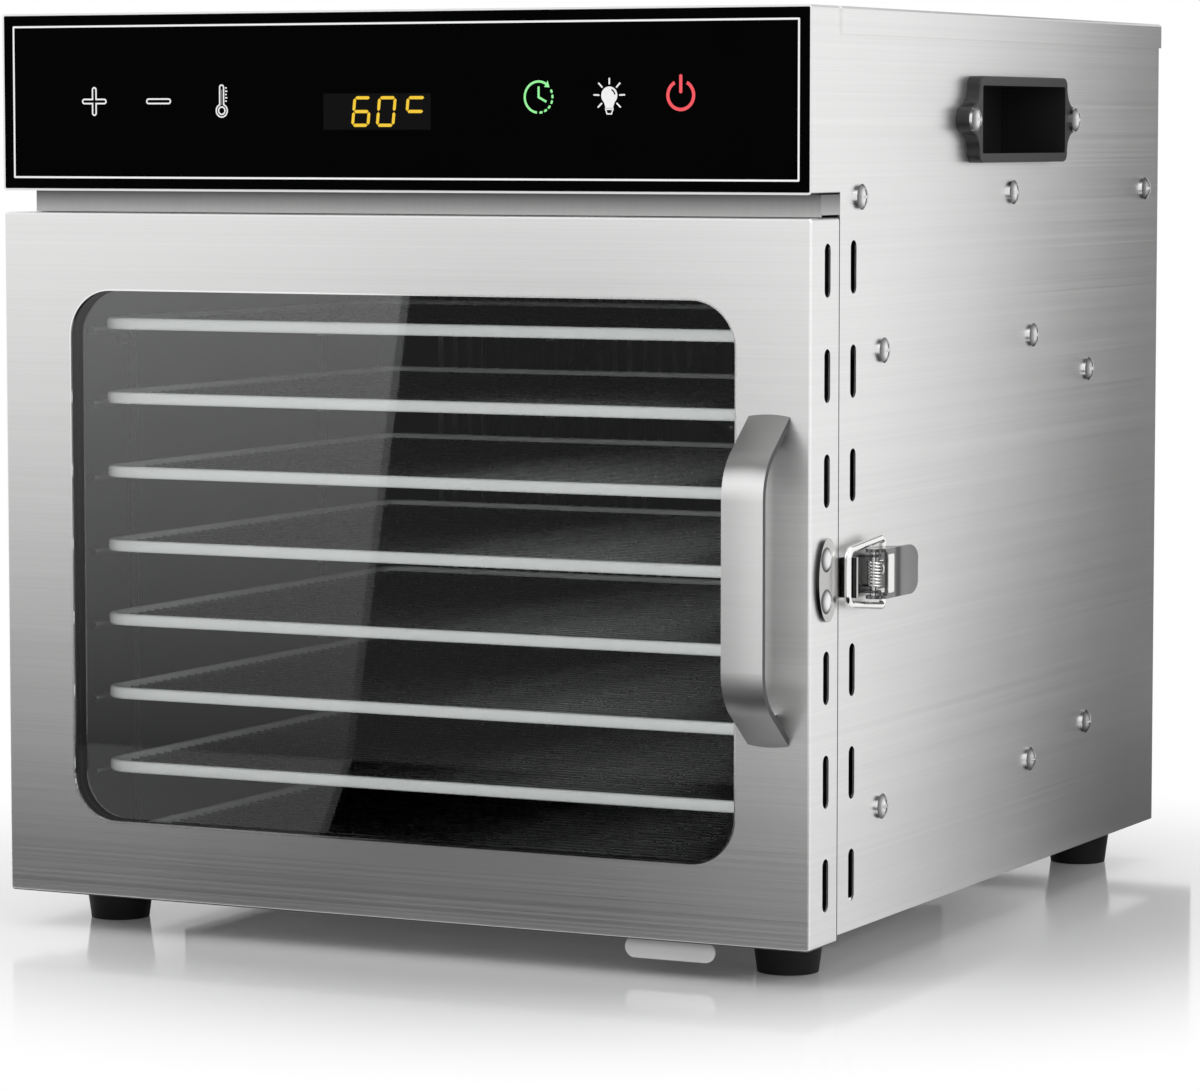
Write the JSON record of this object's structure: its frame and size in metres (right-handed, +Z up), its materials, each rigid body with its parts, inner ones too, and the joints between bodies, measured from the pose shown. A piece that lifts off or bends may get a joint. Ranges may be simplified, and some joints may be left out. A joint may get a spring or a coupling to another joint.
{
  "type": "food dehydrator",
  "caption": "Countertop food dehydrator: brushed steel cabinet, hinged window door with a bow handle and side draw latch, wire trays, rear fan and black touch control head.",
  "frame": {"origin": "floor level under the centre of the overall box", "axes": "+X to the right of the picture, +Y to the back, +Z up; the door faces -Y"},
  "size_m": [0.3652, 0.4065, 0.3595],
  "materials": {
    "brushed_steel": "horizontally brushed stainless",
    "satin_steel": "satin stainless",
    "inner_black": "matt black coating",
    "wire_chrome": "bright plated wire",
    "fastener_chrome": "bright plated",
    "latch_nickel": "nickel plated",
    "panel_black": "polished black",
    "window_glass": "clear tempered",
    "lens_glass": "ribbed clear",
    "grip_plastic": "fine textured black",
    "black_rubber": "matt",
    "gasket_rubber": "soft silicone",
    "board_green": "solder mask",
    "display_dark": "display window",
    "fan_aluminium": "pressed",
    "motor_steel": "laminated stack",
    "heater_steel": "heat tinted tube",
    "tab_grey": "light grey coating"
  },
  "bodies": {
    "cabinet": {"bottom_pan": "brushed_steel", "side_panel_left": "brushed_steel", "side_panel_right": "brushed_steel", "top_cover": "brushed_steel", "rear_panel": "brushed_steel", "front_frame": "inner_black", "control_housing": "brushed_steel", "touch_panel": "panel_black", "display_module": "display_dark", "control_board": "board_green", "header_strip": "brushed_steel", "liner_left": "inner_black", "liner_right": "inner_black", "liner_ceiling": "inner_black", "liner_floor": "inner_black", "rear_baffle": "inner_black", "tray_rack_left": "wire_chrome", "tray_rack_right": "wire_chrome", "wall_spacers": "satin_steel", "crumb_tray_runners": "satin_steel", "fan_motor": "motor_steel", "heater_element": "heater_steel", "lamp_holder": "inner_black", "lamp_lens": "lens_glass", "temperature_probe": "fastener_chrome", "power_board": "board_green", "cable_gland": "grip_plastic", "side_grip_left": "grip_plastic", "side_grip_right": "grip_plastic", "rubber_feet": "black_rubber", "casing_screws": "fastener_chrome", "hinge_cabinet_leaves": "satin_steel", "hinge_pins": "fastener_chrome", "latch_base": "latch_nickel", "latch_pin": "fastener_chrome", "latch_rivets": "fastener_chrome", "latch_spring": "latch_nickel"},
    "door": {"door_shell": "brushed_steel", "door_glass": "window_glass", "glass_retainer": "inner_black", "door_inner_frame": "inner_black", "door_gasket": "gasket_rubber", "door_handle": "satin_steel", "door_screws": "fastener_chrome", "hinge_door_leaves": "satin_steel", "latch_keeper": "latch_nickel", "keeper_rivets": "fastener_chrome"},
    "latch_lever": {"latch_lever": "latch_nickel"},
    "latch_bail": {"latch_bail": "latch_nickel"},
    "fan": {"fan_blades": "fan_aluminium", "fan_shaft": "fastener_chrome"},
    "crumb_tray": {"crumb_tray": "tab_grey"},
    "tray_1": {"tray_1": "wire_chrome"},
    "tray_2": {"tray_2": "wire_chrome"},
    "tray_3": {"tray_3": "wire_chrome"},
    "tray_4": {"tray_4": "wire_chrome"},
    "tray_5": {"tray_5": "wire_chrome"},
    "tray_6": {"tray_6": "wire_chrome"},
    "tray_7": {"tray_7": "wire_chrome"},
    "tray_8": {"tray_8": "wire_chrome"}
  },
  "joints": [
    {"name": "door_hinge", "type": "hinge", "parent": "cabinet", "child": "door", "pos_m": [-0.1761, -0.15315, 0.1503], "axis": [0, 0, -1], "range_deg": [0, 150]},
    {"name": "latch_lever_hinge", "type": "hinge", "parent": "cabinet", "child": "latch_lever", "pos_m": [0.1781, -0.13225, 0.1503], "axis": [0, 0, -1], "range_deg": [0, 150]},
    {"name": "latch_bail_hinge", "type": "hinge", "parent": "latch_lever", "child": "latch_bail", "pos_m": [0.1778, -0.12346, 0.1503], "axis": [0, 0, -1], "range_deg": [-175.1, 0]},
    {"name": "fan_spin", "type": "hinge", "parent": "cabinet", "child": "fan", "pos_m": [0, 0.13595, 0.1575], "axis": [0, 1, 0], "continuous": true},
    {"name": "crumb_tray_slide", "type": "slide", "parent": "cabinet", "child": "crumb_tray", "axis": [0, -1, 0], "range_m": [0, 0.17]},
    {"name": "tray_1_slide", "type": "slide", "parent": "cabinet", "child": "tray_1", "axis": [0, -1, 0], "range_m": [0, 0.012]},
    {"name": "tray_2_slide", "type": "slide", "parent": "cabinet", "child": "tray_2", "axis": [0, -1, 0], "range_m": [0, 0.012]},
    {"name": "tray_3_slide", "type": "slide", "parent": "cabinet", "child": "tray_3", "axis": [0, -1, 0], "range_m": [0, 0.012]},
    {"name": "tray_4_slide", "type": "slide", "parent": "cabinet", "child": "tray_4", "axis": [0, -1, 0], "range_m": [0, 0.012]},
    {"name": "tray_5_slide", "type": "slide", "parent": "cabinet", "child": "tray_5", "axis": [0, -1, 0], "range_m": [0, 0.012]},
    {"name": "tray_6_slide", "type": "slide", "parent": "cabinet", "child": "tray_6", "axis": [0, -1, 0], "range_m": [0, 0.012]},
    {"name": "tray_7_slide", "type": "slide", "parent": "cabinet", "child": "tray_7", "axis": [0, -1, 0], "range_m": [0, 0.012]},
    {"name": "tray_8_slide", "type": "slide", "parent": "cabinet", "child": "tray_8", "axis": [0, -1, 0], "range_m": [0, 0.012]}
  ],
  "couplings": [
    {"joint": "latch_bail_hinge", "follows": "latch_lever_hinge", "ratio": -1.1667}
  ]
}
